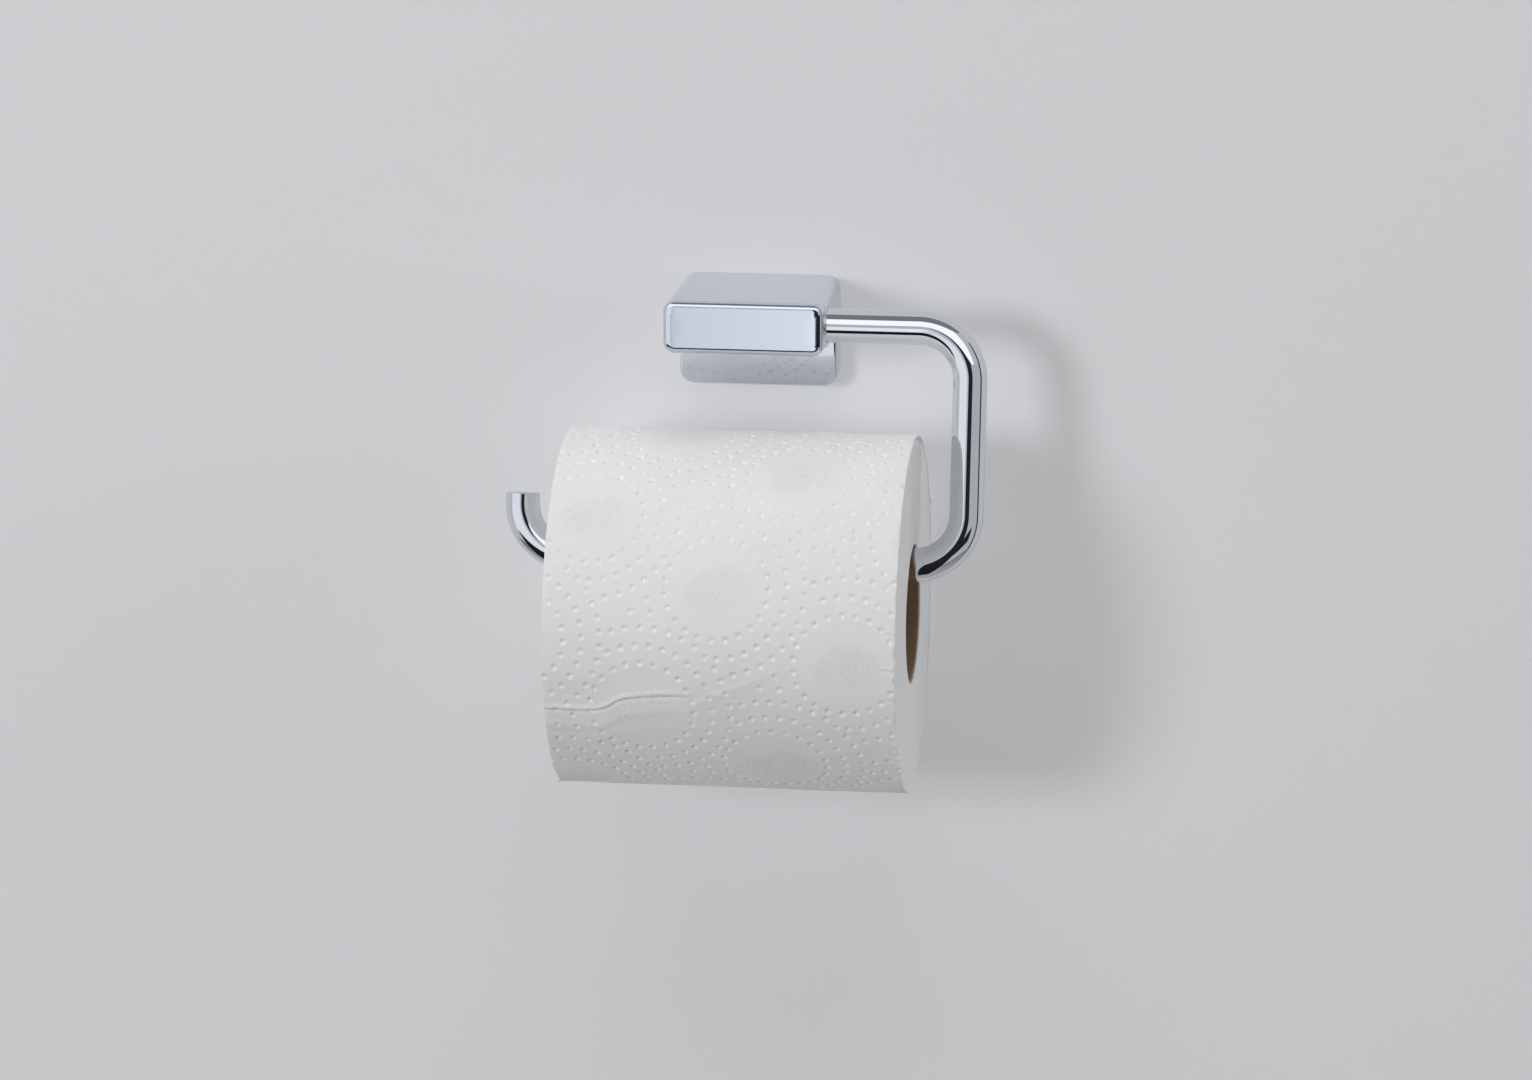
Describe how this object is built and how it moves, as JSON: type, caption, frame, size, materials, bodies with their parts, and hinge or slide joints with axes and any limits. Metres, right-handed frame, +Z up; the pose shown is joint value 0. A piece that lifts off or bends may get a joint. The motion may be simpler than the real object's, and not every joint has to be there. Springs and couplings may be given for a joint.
{
  "type": "toilet paper holder",
  "caption": "Wall-mounted holder with a square chrome housing, a bent arm that swings on a pivot, and a paper roll that turns on the arm.",
  "frame": {"origin": "centre of the housing's back face, on the wall plane", "axes": "+Y into the wall, so the room is towards -Y; +Z up; +X to the right of someone facing the wall"},
  "size_m": [0.1402, 0.1342, 0.141],
  "materials": {
    "chrome_casting": "polished",
    "chrome_rod": "polished",
    "zinc_plated_steel": "satin",
    "screw_steel": "satin",
    "black_steel": "oiled",
    "bush_plastic": "matt",
    "tissue": "embossed, matt",
    "core_board": "matt"
  },
  "bodies": {
    "wall_unit": {"housing": "chrome_casting", "wall_bracket": "zinc_plated_steel", "wall_screws": "screw_steel", "grub_screw": "black_steel", "pivot_bush": "bush_plastic", "pivot_collar": "chrome_rod"},
    "arm": {"arm_rod": "chrome_rod", "thrust_washer": "screw_steel", "retaining_screw": "screw_steel"},
    "roll": {"paper_roll": "tissue", "outer_sheet": "tissue", "cardboard_core": "core_board"}
  },
  "joints": [
    {"name": "arm_swing", "type": "hinge", "parent": "wall_unit", "child": "arm", "pos_m": [0.0235, -0.035, 0.0082], "axis": [-1, 0, 0], "range_deg": [0, 90]},
    {"name": "roll_spin", "type": "hinge", "parent": "arm", "child": "roll", "pos_m": [0.0005, -0.05225, -0.07299], "axis": [-1, 0, 0], "continuous": true}
  ]
}
